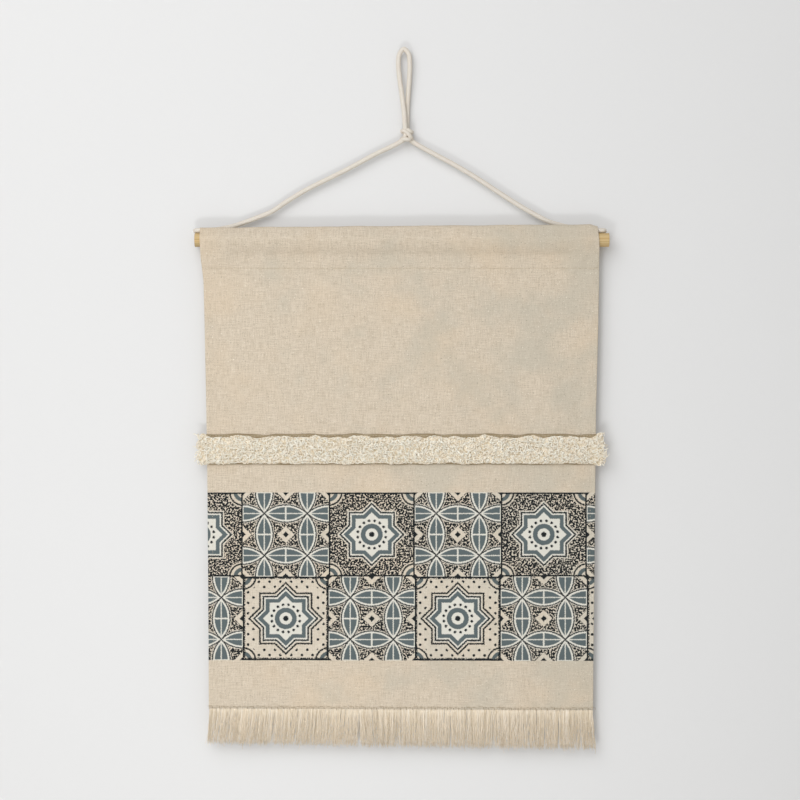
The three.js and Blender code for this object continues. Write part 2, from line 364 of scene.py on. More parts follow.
# The tiles are textbook geometry and not the photo's motifs: an eight-pointed star made of two squares, and a
# net of overlapping circles. Only the band's place, the tiles' size and the inks follow the photo. Inside a
# tile the lengths are in halves of its width, so it goes from -1 to 1, and every distance is below 0 inside
# its shape.
PRINT_TOP_Z = -0.6416
PRINT_FOOT_Z = -0.8852
TILE_LEFT_X = -0.2338
TILE_WIDTH = 0.1247
STAR_R = 0.52
CORNER_R = 0.30
DOT_RING_R = 0.33
DOTS = 16
HALF_LINE = 0.018
FLECK_SIZE = 2.6 * MM

INK_BLACK = rgb("141b1f")
INK_SLATE = rgb("3b5057")
PRINT_GROUND = rgb("e6e5dc")


def ring_dots(g, radial, turn):
    """Distance to a ring of evenly spaced dots."""
    along = (g.fract(turn * (DOTS / (2 * math.pi))) - 0.5) * (2 * math.pi * DOT_RING_R / DOTS)
    return g.length(radial, along) - 0.03


def star(g, a, b):
    """Distances to the star's rim, the corner circles' rims, and the slate and black parts in them."""
    rim = g.least(a - STAR_R, (a + b) * math.sqrt(0.5) - STAR_R)
    centre = g.length(a, b)
    corner = g.length(1.0 - a, 1.0 - b)
    slate = g.least(abs(rim + 0.10) - 0.045, abs(centre - 0.20) - 0.055, abs(corner - 0.17) - 0.045)
    dots = ring_dots(g, centre - DOT_RING_R, g.math("ARCTAN2", b, a))
    corner_rim = corner - CORNER_R
    black = g.least(abs(rim) - HALF_LINE, centre - 0.06, dots, abs(corner_rim) - HALF_LINE, 0.965 - a)
    return rim, corner_rim, slate, black


def dotted_ground(g, x, y, rim, corner):
    """Distance to an outline and a grid of dots round the star on a light tile."""
    dots = (0.72 - g.cos(x * (8 * math.pi)) * g.cos(y * (8 * math.pi))) * 0.09
    dots = g.most(dots, 0.17 - rim, 0.07 - corner)
    return g.least(abs(rim - 0.08) - HALF_LINE, dots)


def petals(g, x, y):
    """A net of overlapping circles: distances to its petals, black field, black strokes and slate."""
    tx = g.least(x, 1.0 - x)
    ty = g.least(y, 1.0 - y)
    long, short = g.most(tx, ty), g.least(tx, ty)
    petal = g.length(1.0 - long, short) - math.sqrt(0.5)
    gem = long + short - 0.15
    field = g.most(0.03 - petal, 0.05 - gem)
    strokes = g.least(abs(petal) - 0.013, gem + 0.08)
    slate = g.most(petal + 0.055, HALF_LINE - short, 0.012 - abs(long - 0.5))
    return petal, field, strokes, slate


def tile_print(g, x, v):
    """How much black, slate and pale ground is printed at a place on the cloth.

    The pale ground lies inside the stars and the petals only, so the rest shows the cloth itself.
    """
    wobble = g.join(x, v)
    place_noise = g.noise(wobble, 420.0, 1.0) - 0.5
    column = (x - TILE_LEFT_X) / TILE_WIDTH + place_noise * 0.006
    row = (PRINT_TOP_Z - v) * (2 / (PRINT_TOP_Z - PRINT_FOOT_Z))
    lower_row = g.math("GREATER_THAN", row, 1.0)
    kind = g.fract((g.math("FLOOR", column) + lower_row) * 0.5) * 2.0
    px = abs(g.fract(column) * 2.0 - 1.0)
    py = abs(g.fract(row + place_noise * 0.006) * 2.0 - 1.0)
    a, b = g.most(px, py), g.least(px, py)
    rim, corner, star_slate, star_black = star(g, a, b)
    dark_field = g.most(0.05 - rim, 0.05 - corner)
    light_black = g.least(star_black, dotted_ground(g, px, py, rim, corner))
    petal, petal_field, petal_black, petal_slate = petals(g, px, py)

    def pick(factor, first, second):
        return first + (second - first) * factor

    worn = g.noise(wobble, 1 / (1.5 * MM), 2.0, 0.7) - 0.5
    flecks = g.noise(wobble, 1 / FLECK_SIZE, 1.0, 0.6)
    strokes = pick(kind, petal_black, pick(lower_row, star_black, light_black))
    field = pick(kind, petal_field, pick(lower_row, dark_field, 0.94 - a))
    slate = pick(kind, petal_slate, star_slate)
    bare = pick(kind, g.inside(0.02 - petal, 0.03), g.inside(0.03 - rim, 0.03))
    strokes = g.inside(strokes - 0.002 + worn * 0.07, 0.012)
    field = g.inside(field + worn * 0.08, 0.012) * g.inside(flecks - 0.545, 0.03)
    slate = g.inside(slate + worn * 0.045, 0.014)
    edge = g.least(PRINT_TOP_Z - v, v - PRINT_FOOT_Z) + place_noise * (0.7 * MM)
    printed = g.inside(0.0 - edge, 0.4 * MM)
    return g.most(strokes, field) * printed, slate * printed, printed * (1.0 - bare * 0.75)


# ---- materials

THREAD_PITCH = 1.15 * MM
CANVAS_PALE = rgb("e8dbc8")
CANVAS_DARK = rgb("c1b19a")
CANVAS_WARM = rgb("e3cdb0")
CANVAS_GREY_AND_SHADE = rgb("c6c0b0")
FLECK_DARK = rgb("8b7a62")
FLECK_PALE = rgb("f9f2e6")


def plain_weave(g, x, v):
    """Height of a plain weave from 0 to 1, and which thread is on top: 1 for a warp, 0 for a weft."""
    across = g.sin(x * (math.pi / THREAD_PITCH))
    along = g.sin(v * (math.pi / THREAD_PITCH))
    lift = across * along * 0.4
    warp = abs(across) * 0.6 + lift
    weft = abs(along) * 0.6 - lift
    return g.most(warp, weft), g.math("GREATER_THAN", warp, weft)


def canvas_colour(g, x, v, height, warp_on_top):
    """The unprinted cloth: oatmeal threads, each with its own slubs, warmer and greyer in places. Painted
    shade greys it more towards the right, and darkens the dips of the weave.
    """
    warp_slubs = g.noise(g.join(x * 900.0, v * 55.0), 1.0, 3.0, 0.6)
    weft_slubs = g.noise(g.join(x * 55.0, v * 900.0, 7.0), 1.0, 3.0, 0.6)
    slub = weft_slubs + (warp_slubs - weft_slubs) * warp_on_top
    # Painted shade: the cloth is paler on the thread tops and darker in the dips of the weave.
    tone = slub + (height - 0.55) * 0.35
    colour = g.mix(g.rise(tone, 0.32, 0.66), CANVAS_DARK, CANVAS_PALE)
    patches = g.noise(g.join(x, v), 9.0, 2.0)
    colour = g.mix(g.rise(patches, 0.46, 0.72) * 0.35, colour, CANVAS_WARM)
    # Painted shade: besides random grey patches, the cloth greys towards the right, as if less light fell
    # there.
    grey = g.noise(g.join(x, v, 3.0), 14.0, 3.0)
    grey_patches_and_right_shade = g.rise(grey + x * 0.45, 0.44, 0.74) * 0.55
    colour = g.mix(grey_patches_and_right_shade, colour, CANVAS_GREY_AND_SHADE)
    dark_specks = g.noise(g.join(x * 380.0, v * 560.0, 5.0), 1.0, 2.0, 0.65)
    colour = g.mix(g.rise(dark_specks, 0.60, 0.72) * 0.6, colour, FLECK_DARK)
    pale_specks = g.noise(g.join(x * 520.0, v * 400.0, 11.0), 1.0, 2.0, 0.65)
    return g.mix(g.rise(pale_specks, 0.60, 0.72) * 0.7, colour, FLECK_PALE)


def canvas_material():
    """Woven canvas, printed on its face. The mesh keeps each point's place on the flat cloth and its side."""
    g = Graph("canvas", roughness=0.9, sheen=0.15)
    x, v, back = g.split(g.stored("cloth").outputs["Vector"])
    height, warp_on_top = plain_weave(g, x, v)
    colour = canvas_colour(g, x, v, height, warp_on_top)
    black, slate, ground = tile_print(g, x, v)
    held = 1.0 - back * 0.84
    thin = 0.84 + height * 0.2
    colour = g.mix(ground * held * 0.86, colour, PRINT_GROUND)
    colour = g.mix(slate * held * thin * 0.94, colour, INK_SLATE)
    colour = g.mix(g.math("MINIMUM", black * held * thin * 1.08, 1.0), colour, INK_BLACK)
    return g.shade(colour, height, 0.28 * MM)


def plain_canvas_material(name, pale, dark):
    """Unprinted woven tape, in the row frame's own coordinates."""
    g = Graph(name, roughness=0.9, sheen=0.15)
    x, _, z = g.split(g.place())
    height, _ = plain_weave(g, x, z)
    slub = g.noise(g.join(x * 60.0, z * 900.0), 1.0, 3.0, 0.6)
    # Painted shade: the tape is paler on its thread tops and darker in the dips of the weave.
    colour = g.mix(g.rise(slub + height * 0.3, 0.4, 0.85), dark, pale)
    return g.shade(colour, height, 0.25 * MM)


def yarn_material(name, dark, middle, pale, fibre_scale):
    """Loose cotton yarn. The mesh keeps a tone for each yarn, or on the pile's roots painted shade in the
    gaps between the nubs, and hair-fine fibres run over it.
    """
    g = Graph(name, roughness=0.92, sheen=0.8)
    place = g.place()
    tone = Num(g, g.stored("tone").outputs["Fac"])
    fibres = g.noise(place, fibre_scale, 3.0, 0.65)
    colour = g.mix(g.rise(tone + fibres * 0.5, 0.25, 0.75), dark, middle)
    colour = g.mix(g.rise(tone + fibres * 0.4, 0.75, 1.25), colour, pale)
    return g.shade(colour, fibres, 0.3 * MM)


def cord_material():
    """Soft cotton cord. The mesh keeps its braid's height at each point, and the colour darkens in the
    braid's gaps as painted shade.
    """
    g = Graph("cotton_cord", roughness=0.88, sheen=0.8)
    place = g.place()
    braid = Num(g, g.stored("braid").outputs["Fac"])
    fibres = g.noise(place, 1500.0, 3.0, 0.7)
    blotches = g.noise(place, 70.0, 2.0)
    colour = g.mix(g.rise(fibres, 0.35, 0.65), rgb("ddd6ca"), rgb("efe9df"))
    colour = g.mix(g.rise(blotches, 0.5, 0.75) * 0.45, colour, rgb("e3d6cb"))
    # Painted shade: darker in the gaps between the braid's strands.
    colour = g.mix(g.rise(braid, 0.55, 0.05) * 0.45, colour, rgb("cbc0b2"))
    return g.shade(colour, fibres, 0.3 * MM)


def wood_material():
    """Sanded softwood. Rings about a pith beside the rod make grain on its side and arcs on its ends."""
    g = Graph("dowel_wood", roughness=0.62)
    x, y, z = g.split(g.place())
    bend = g.noise(g.join(x * 3.0, y * 20.0, z * 20.0), 1.0, 2.0) - 0.5
    out = g.length(y - (CLOTH_Y + 0.021), z - (ROD_Z - 0.013)) + bend * (2.2 * MM)
    ring = g.fract(out * (1 / (1.9 * MM)))
    late = g.rise(ring, 0.45, 0.95) - g.rise(ring, 0.95, 1.0)
    pores = g.noise(g.join(x * 45.0, y * 2600.0, z * 2600.0), 1.0, 2.0, 0.6)
    streaks = g.noise(g.join(x * 9.0, y * 420.0, z * 420.0), 1.0, 3.0, 0.6)
    colour = g.mix(late * 0.62, rgb("d0b98b"), rgb("a68650"))
    colour = g.mix(g.rise(streaks, 0.42, 0.7) * 0.45, colour, rgb("dcb377"))
    colour = g.mix(g.rise(pores, 0.6, 0.75) * 0.5, colour, rgb("a87a46"))
    to_end = (dowel_high.x - dowel_low.x) / 2 - abs(x - (dowel_low.x + dowel_high.x) / 2)
    colour = g.mix(g.rise(to_end, 1.2 * MM, 0.0) * 0.35, colour, rgb("b98d58"))
    return g.shade(colour, streaks * 0.5 + pores * 0.5, 0.12 * MM)


def thread_material(name, dark, pale):
    """Two-ply sewing thread, with painted shade in the grooves between its plies."""
    g = Graph(name, roughness=0.7, sheen=0.1)
    x, y, z = g.split(g.place())
    ply = g.sin((x + y * 1.6 + z) * 9000.0) * 0.5 + 0.5
    fuzz = g.noise(g.join(x, y, z), 1500.0, 2.0)
    # Painted shade: the plies' crowns paler, the grooves between them darker.
    colour = g.mix(g.rise(fuzz + ply * 0.2, 0.4, 0.75), dark, pale)
    return g.shade(colour, ply, 0.08 * MM)


def stage_material(name, colour_code, see_through_back=False):
    """Matt paint for the stage, with a barely visible roller texture. It can be clear from behind."""
    g = Graph(name, roughness=0.95)
    place = g.place()
    roller = g.noise(place, 260.0, 3.0, 0.6)
    tone = g.noise(place, 1.2, 1.0)
    colour = g.mix(tone * 0.06, rgb(colour_code), rgb("f4f4f4"))
    g.shade(colour, roller, 0.05 * MM)
    if see_through_back:
        backfacing = g.node("ShaderNodeNewGeometry").outputs["Backfacing"]
        clear = g.node("ShaderNodeBsdfTransparent").outputs["BSDF"]
        either = g.node("ShaderNodeMixShader", enumerate((backfacing, g.shader.outputs["BSDF"], clear)))
        g.plug(g.tree.nodes["Material Output"].inputs["Surface"], either.outputs[0])
    return g.material


CANVAS = canvas_material()
# The tape's colours are darker than the canvas: painted shadow, so that its bare selvedges show as dark lines
# along the pile's upper and lower edges.
SHADOW_DARKENED_TAPE = plain_canvas_material("tape", rgb("b5a385"), rgb("8f7e5f"))
CORD = cord_material()
WOOD = wood_material()
PILE = yarn_material("pile_yarn", rgb("ddceb1"), rgb("fff5e3"), rgb("fffcf0"), 900.0)
WARP = yarn_material("warp_yarn", rgb("d6c7ad"), rgb("f1e3cd"), rgb("faf2e5"), 1200.0)
HEM_THREAD = thread_material("hem_thread", rgb("c4b69d"), rgb("e2d6c1"))
SEAM_THREAD = thread_material("seam_thread", rgb("c2b399"), rgb("dfd1ba"))
EDGE_THREAD = thread_material("edge_thread", rgb("84704f"), rgb("b09a76"))


# ---- the canvas

POCKET_ROWS = 70
PANEL_ROWS = 112
SPAN_COLUMNS = 260
FOLD_COLUMNS = 5
CREASE_DROP_LEFT = -1.5 * MM
CREASE_LIFT_RIGHT = 3.6 * MM
WAVE_DEPTH = 1.3 * MM
HEM_SPREAD = 0.95 * MM
PUCKER_DEPTH = 0.22 * MM
PUCKER_SIZE = 7 * MM
# The taut cord presses into the back of the pocket, where its two legs lie on it.
CORD_DENT = 1.1 * MM
CORD_DENT_REACH = 7 * MM
# Over the cord's turn at the right end, the crease is pulled down a little.
CORNER_DROP = 3.0 * MM
CORNER_WIDTH = 11 * MM
HOLLOW_FROM = (-0.262, -0.236)
HOLLOW_TO = (0.232, 0.262)


def circle_part(radius, centre_z, first, last, count=24):
    """Points (depth, height) on a circle about the cloth's plane, from angle first to last, in degrees."""
    angles = np.radians(np.linspace(first, last, count))
    return np.stack([radius * np.cos(angles), centre_z + radius * np.sin(angles)], axis=1)


def pocket_sections():
    """The pocket's section (depth, height) from the end of the back flap, over the crease, down to the seam.

    The first stands open, as it does round the knots under the rod's ends. The second is drawn in under the
    rod at the front, where the weight of the cloth pulls it flat.
    """
    radius = POCKET_R - CLOTH_T / 2
    crease_z = CREASE_Z - CLOTH_T / 2 - CREASE_R
    up = math.degrees(math.asin((radius - CREASE_R) / (crease_z - ROD_Z)))
    down = math.degrees(math.asin(radius / (ROD_Z - SEAM_Z)))
    side = np.concatenate([
        circle_part(radius, ROD_Z, -down, up),
        circle_part(CREASE_R, crease_z, up, 90),
    ])
    flap = np.array([[0, SEAM_Z - FLAP_END], [0, SEAM_Z]])
    front = side[::-1] * [-1, 1]
    drawn_in = np.array([[-8.9, -286.2], [-6.0, -291.2], [-3.0, -295.6], [-1.3, -300.8], [-0.5, -308.0]]) * MM
    held_front = front[front[:, 1] > ROD_Z - 3 * MM]
    open_line = np.concatenate([flap, side, front, flap[1:]])
    drawn = np.concatenate([side, held_front, drawn_in, flap[1:]])
    drawn = curve_through(np.pad(drawn, ((0, 0), (0, 1))), MM)[:, :2]
    return even(open_line, POCKET_ROWS), even(np.concatenate([flap, drawn]), POCKET_ROWS)


def layer_spread(x):
    """Half the distance between the two cloths at the seam, more where the side hems are folded in."""
    left, right = cloth_ends(AT_SEAM, 0)
    from_edge = np.minimum(x - left, right - x)
    return FOLD_R + HEM_SPREAD * (1 - smooth_step(HEM_WIDTH, HEM_WIDTH + 8 * MM, from_edge))


def pucker(x):
    """Small gathers in the cloth beside the seam."""
    return PUCKER_DEPTH * wander(x, 9, PUCKER_SIZE)


def panel_shift(x, z):
    """How far the panel's cloth stands off its plane: forwards at the seam, then in slow shallow waves."""
    at_seam = 1 - smooth_step(-SEAM_Z + 4 * MM, 0.350, -z)
    wave_share = smooth_step(-SEAM_Z, 0.46, -z)
    wave = 0.8 * wander(x + 0.25 * z, 3, 0.105) + 0.3 * wander(x - 0.15 * z, 5, 0.038)
    return -layer_spread(x) * at_seam + WAVE_DEPTH * wave * wave_share


def hem_slope(x, z):
    """The lower edge hangs a little lower on the right."""
    return -4.0 * MM * x * smooth_step(0.82, 0.956, -z) * 1.2


def fold_columns():
    """For each column of the cloth: share of the way across, offset in x, depth, and facing (x, y)."""
    flap = np.linspace(HEM_WIDTH, FOLD_R, FOLD_COLUMNS) - FOLD_R
    turn = np.radians(np.linspace(-90, 90, FOLD_COLUMNS + 2))[1:-1]
    left = [(0.0, offset, -2 * FOLD_R, 0.0, -1.0) for offset in flap]
    for t in turn:
        left.append((0.0, -FOLD_R * math.cos(t), FOLD_R * (math.sin(t) - 1), -math.cos(t), math.sin(t)))
    span = [(share, 0.0, 0.0, 0.0, 1.0) for share in np.linspace(0, 1, SPAN_COLUMNS)]
    right = [(1.0, -offset, depth, -facing_x, facing) for _, offset, depth, facing_x, facing in left[::-1]]
    return np.array(left + span + right)


def cord_dent(x, depth, z):
    """How far the taut cord presses into the back of the pocket."""
    cord_x, _, cord_z = np.array(LEFT_LEG[:6] + RIGHT_LEG[-6:]).T * MM
    from_cord = z - np.interp(x, cord_x, cord_z)
    return CORD_DENT * np.exp(-(from_cord / CORD_DENT_REACH) ** 2) * smooth_step(0, 4 * MM, depth)


def crease_lift(x):
    """How far the crease stands above the CAD's. It rises to the right, and drops at the right end."""
    share = (x - dowel_low.x) / (dowel_high.x - dowel_low.x)
    lift = CREASE_DROP_LEFT + (CREASE_LIFT_RIGHT - CREASE_DROP_LEFT) * share + 0.4 * MM * wander(x, 17, 0.06)
    end = RIGHT_EDGE[-1][1]
    return lift - CORNER_DROP * smooth_step(end - CORNER_WIDTH, end, x)


def pocket_surface(x, open_line, drawn_line):
    """Depth and height of the pocket's cloth at each x: open at both ends, and drawn in between them."""
    hollow = smooth_step(*HOLLOW_FROM, x) * (1 - smooth_step(*HOLLOW_TO, x))
    hollow = (hollow * (0.86 + 0.14 * wander(x, 21, 0.05)))[..., None]
    pocket = open_line[:, None] * (1 - hollow) + drawn_line[:, None] * hollow
    depth, z = pocket[..., 0], pocket[..., 1]
    near_seam = 1 - smooth_step(SEAM_Z + 2 * MM, SEAM_Z + 20 * MM, z)
    backwards = np.where(np.arange(POCKET_ROWS) < POCKET_ROWS / 2, 1, -1)[:, None]
    slack = (layer_spread(x) + pucker(x)) * near_seam + 0.35 * MM * wander(x, 13, 0.05) * (1 - near_seam)
    y = depth + backwards * slack - cord_dent(x, depth, z)
    return y, z + crease_lift(x) * smooth_step(ROD_Z + 5 * MM, CREASE_Z, z)


def make_canvas():
    """One length of cloth: back flap, rod pocket, panel, with both side edges folded to the back."""
    (open_line, along), (drawn_line, _) = pocket_sections()
    panel_z = np.linspace(SEAM_Z, HEM_Z, PANEL_ROWS + 1)[1:, None]
    row_z = np.concatenate([open_line[:, 1:], panel_z])
    share, offset, depth, facing_x, facing = fold_columns().T
    left = edge_x(LEFT_EDGE, row_z) + FOLD_R
    right = edge_x(RIGHT_EDGE, row_z) - FOLD_R
    x = left + (right - left) * share
    pocket_y, pocket_z = pocket_surface(x[:POCKET_ROWS], open_line, drawn_line)
    panel_x = x[POCKET_ROWS:]
    at_seam = 1 - smooth_step(-SEAM_Z, -SEAM_Z + 14 * MM, -panel_z)
    panel_y = panel_shift(panel_x, panel_z) - pucker(panel_x) * at_seam
    y = np.concatenate([pocket_y, panel_y])
    z = np.concatenate([pocket_z, panel_z + hem_slope(panel_x, panel_z)])
    middle = np.stack([x, CLOTH_Y + y, z], axis=-1)
    run = unit(np.gradient(middle[..., 1:], axis=0))
    outward = np.stack([np.zeros_like(x), run[..., 1], -run[..., 0]], axis=-1)
    middle = middle + outward * depth[:, None]
    middle[..., 0] += offset
    facing_way = outward * facing[:, None]
    facing_way[..., 0] += facing_x
    outer = middle + facing_way * CLOTH_T / 2
    inner = middle - facing_way * CLOTH_T / 2
    points = np.concatenate([outer.reshape(-1, 3), inner.reshape(-1, 3)])
    canvas = mesh_piece("canvas", points, shell_faces(*x.shape), CANVAS)
    flat_v = np.concatenate([SEAM_Z + along[-1:] - along[:, None], panel_z]) + 0 * x
    flat_x = x + np.where(share == 0, -np.abs(offset), np.abs(offset)) * (facing < 1)
    face = np.stack([flat_x, flat_v, 0 * x], axis=-1).reshape(-1, 3)
    point_values(canvas, "cloth", np.concatenate([face, face + [0, 0, 1]]))
    return canvas


def shell_faces(rows, columns):
    """Faces of a closed thin shell: an outer grid, an inner grid, and the rim between them."""
    index = np.arange(rows * columns).reshape(rows, columns)
    inner = index + rows * columns
    quads = np.stack([index[:-1, :-1], index[1:, :-1], index[1:, 1:], index[:-1, 1:]], -1).reshape(-1, 4)
    faces = quads.tolist() + (quads[:, ::-1] + rows * columns).tolist()
    for edge, far in ((index[0], inner[0]), (index[:, -1], inner[:, -1]),
                      (index[-1, ::-1], inner[-1, ::-1]), (index[::-1, 0], inner[::-1, 0])):
        faces += np.stack([edge[:-1], edge[1:], far[1:], far[:-1]], -1).tolist()
    return faces


def bend_with_lift(piece):
    """The piece, with its place baked into its points."""
    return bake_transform(piece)


# ---- stitches

STITCH = 3.0 * MM
STITCH_GAP = 1.3 * MM
STITCH_SCATTER = 0.15 * MM
HEM_STITCH = 8.5 * MM


def stitch_lines(centres, along, outward, length=STITCH, height=0.28 * MM):
    """The line of each stitch, which rises out of the cloth, lies on it and dips back in."""
    reach = np.array([-0.5, -0.38, 0.0, 0.38, 0.5]) * length
    rise = np.array([-0.30 * MM, height * 0.8, height, height * 0.8, -0.30 * MM])
    return centres[:, None] + along * reach[..., None] + np.asarray(outward) * rise[:, None]


def stitch_piece(name, rows, material, radius=0.3 * MM):
    """One object that holds whole rows of stitches."""
    lines = np.concatenate(rows)
    radii = np.full(lines.shape[:2], radius)
    points, faces = tubes(lines, radii, 6)
    return mesh_piece(name, points, faces, material)


def row_across(height, face_y, outward, first, last):
    """A row of stitches across the cloth, on the surface face_y(x, z)."""
    x = np.arange(first, last, STITCH + STITCH_GAP)
    z = height + random.normal(0, STITCH_SCATTER, len(x))
    centres = np.stack([x, face_y(x, z), z], axis=1)
    return stitch_lines(centres, np.array([1.0, 0, 0]), outward)


def front_of_panel(x, z):
    return CLOTH_Y + panel_shift(x, z) - CLOTH_T / 2


def back_of_panel(x, z):
    return CLOTH_Y + panel_shift(x, z) + CLOTH_T / 2


def make_seam_thread():
    """The seam of the rod pocket, through both cloths."""
    first, last = cloth_ends(AT_SEAM, 2 * MM)

    def front(x, z):
        return CLOTH_Y - layer_spread(x) - CLOTH_T / 2

    def back(x, z):
        return CLOTH_Y + layer_spread(x) + CLOTH_T / 2

    rows = [
        row_across(SEAM_Z, front, (0, -1, 0), first, last),
        row_across(SEAM_Z, back, (0, 1, 0), first, last),
    ]
    return stitch_piece("sleeve_seam_stitches", rows, SEAM_THREAD)


def make_hem_thread(name, edge, inwards):
    """The stitches that hold a folded side edge: long on the back, and hardly there on the face."""
    z = np.arange(SEAM_Z - 7 * MM, HEM_Z + 5 * MM, -(STITCH + STITCH_GAP))
    x = edge_x(edge, z) + inwards * (HEM_WIDTH - 2.2 * MM)
    front = np.stack([x, front_of_panel(x, z), z], axis=1)
    back = np.stack([x, back_of_panel(x, z) + 2 * FOLD_R, z - STITCH / 2], axis=1)
    down = np.array([0, 0, -1.0])
    rows = [stitch_lines(front, down, (0, -1, 0), 1.5 * MM, 0.12 * MM), stitch_lines(back, down, (0, 1, 0))]
    return stitch_piece(name, rows, HEM_THREAD, 0.26 * MM)


def make_edge_thread():
    """Hemstitching above the fringe: a stitch along the edge, and then one down round the yarns."""
    first, last = cloth_ends(AT_FRINGE, 2 * MM)
    rows = []
    sides = ((front_of_panel, (0, -1, 0), 0.0), (back_of_panel, (0, 1, 0), HEM_STITCH / 2))
    for face_y, outward, shift in sides:
        x = np.arange(first + shift, last, HEM_STITCH)
        x = x + random.normal(0, 0.7 * MM, len(x))
        z = HEM_Z + 3.2 * MM + hem_slope(x, HEM_Z) + 0.5 * MM * wander(x, 31, 0.04)
        z += random.normal(0, 0.4 * MM, len(x))
        along = np.stack([x, face_y(x, z), z], axis=1)
        down = along + [0.46 * HEM_STITCH, 0, -1.9 * MM]
        lengths = random.uniform(0.3, 0.75, (len(x), 1)) * HEM_STITCH
        rows.append(stitch_lines(along, np.array([1.0, 0, 0]), outward, lengths, 0.2 * MM))
        rows.append(stitch_lines(down, np.array([0.15, 0, -1.0]), outward, 4.0 * MM, 0.2 * MM))
    return stitch_piece("fringe_edge_stitches", rows, EDGE_THREAD, 0.24 * MM)


# ---- the pile band

TAPE_T = 0.9 * MM
TAPE_SEAM_INSET = 2.5 * MM
PILE_ROWS = 4
YARNS_PER_ROW = 1050
YARN_POINTS = 8
YARN_SIDES = 4
PILE_YARN_R = 0.7 * MM
ROOTS_HEIGHT = 4.4 * MM
CURL_HEIGHT = 3.0 * MM
PILE_FIRST = tape_low.x - 6 * MM
PILE_LAST = tape_high.x + 6 * MM
ROOTS_END = 5 * MM
ROOTS_STEPS = 620
ROOTS_SIDES = 56
NUB_SIZE = 2.2 * MM
NUB_DEPTH = 1.6 * MM
# How much of the dark tape the pile leaves bare along its edges: strips of painted shadow.
UPPER_SELVEDGE = 4.0 * MM
LOWER_SELVEDGE = 1.7 * MM


def tape_middle_y(x, z):
    return front_of_panel(x, z) - TAPE_T / 2 - 0.1 * MM


def tape_front_y(x, z):
    return tape_middle_y(x, z) - TAPE_T / 2


def tape_edges(x):
    """The heights of the tape's upper and lower edge at x, which wander a little."""
    return tape_high.z + 1.1 * MM * wander(x, 41, 0.045), tape_low.z + 0.6 * MM * wander(x, 43, 0.045)


def make_tape():
    """The woven tape that the pile stands on, in colours darkened as painted shadow."""
    x, share = np.meshgrid(np.linspace(tape_low.x, tape_high.x, 200), np.linspace(0, 1, 8))
    upper, lower = tape_edges(x)
    z = upper + (lower - upper) * share
    middle = np.stack([x, tape_middle_y(x, z), z], axis=-1)
    step = np.array([0, TAPE_T / 2, 0])
    points = np.concatenate([(middle - step).reshape(-1, 3), (middle + step).reshape(-1, 3)])
    return mesh_piece("pile_tape_strip", points, shell_faces(*x.shape), SHADOW_DARKENED_TAPE)


def make_tape_thread(name, height):
    """A row of stitches that holds the tape, between the yarns and through to the back of the cloth."""
    first, last = cloth_ends(AT_PILE, 3 * MM)
    rows = [
        row_across(height, tape_front_y, (0, -1, 0), tape_low.x + 2 * MM, tape_high.x - 2 * MM),
        row_across(height, back_of_panel, (0, 1, 0), first, last),
    ]
    return stitch_piece(name, rows, HEM_THREAD)


def curl(directions, axes, angle):
    """The directions turned about their axes by that angle."""
    cos, sin = np.cos(angle), np.sin(angle)
    cross = np.cross(axes, directions)
    dot = (axes * directions).sum(-1, keepdims=True)
    return directions * cos + cross * sin + axes * dot * (1 - cos)


def pile_band(x):
    """The middle height and the half width of the pile at x. It leaves the tape's selvedges bare, and their
    dark colour paints the shadow lines along the pile's edges.
    """
    upper, lower = tape_edges(x)
    from_left = smooth_step(tape_low.x, tape_low.x + 14 * MM, x)
    from_right = 1 - smooth_step(tape_high.x - 14 * MM, tape_high.x, x)
    inner = from_left * from_right
    upper = upper - UPPER_SELVEDGE * inner * (1 + 0.45 * wander(x, 42, 0.03)) + 1 * MM * (1 - inner)
    lower = lower + LOWER_SELVEDGE * inner * (1 + 0.45 * wander(x, 44, 0.03)) - 1 * MM * (1 - inner)
    return (upper + lower) / 2, (upper - lower) / 2


def crown(across):
    """The share of its full height that the pile has, from -1 (lower edge) to 1 (upper edge) across it."""
    return np.sqrt(np.clip(1 - np.abs(across) ** 4, 0, 1))


def make_pile_roots():
    """The dense lower part of the pile, where the yarns press on each other and only rounded nubs show.
    Painted shade darkens the gaps between the nubs.
    """
    x = np.linspace(PILE_FIRST, PILE_LAST, ROOTS_STEPS)[:, None]
    turn = np.linspace(0, 2 * math.pi, ROOTS_SIDES, endpoint=False)[None]
    to_end = np.minimum(x - PILE_FIRST, PILE_LAST - x)
    close = np.sqrt(np.clip(1 - (1 - np.clip(to_end / ROOTS_END, 0, 1)) ** 2, 0.0004, 1))
    middle, half = pile_band(x)
    across = np.cos(turn)
    front = np.sin(turn) > 0
    z = middle + half * across * (0.55 + 0.45 * close)
    depth = np.where(front, ROOTS_HEIGHT * crown(across), 0.1 * MM) * close
    y = tape_front_y(x, middle) - depth
    points = np.stack(np.broadcast_arrays(x, y, z), axis=-1).reshape(-1, 3)
    nubs = np.array([noise.voronoi(Vector(point) / NUB_SIZE)[0][0] for point in points])
    out = np.stack(np.broadcast_arrays(0 * x, -np.maximum(0, np.sin(turn)), across), axis=-1).reshape(-1, 3)
    points += unit(out) * (NUB_DEPTH * (0.5 - nubs) * (depth > 0.3 * MM).ravel())[:, None]
    roots = mesh_piece("pile_roots", points, tube_faces(1, ROOTS_STEPS, ROOTS_SIDES), PILE)
    # The tone is painted shade: darker where the nubs dip into gaps.
    point_values(roots, "tone", 0.8 - 1.2 * np.clip(nubs, 0, 0.7))
    return roots


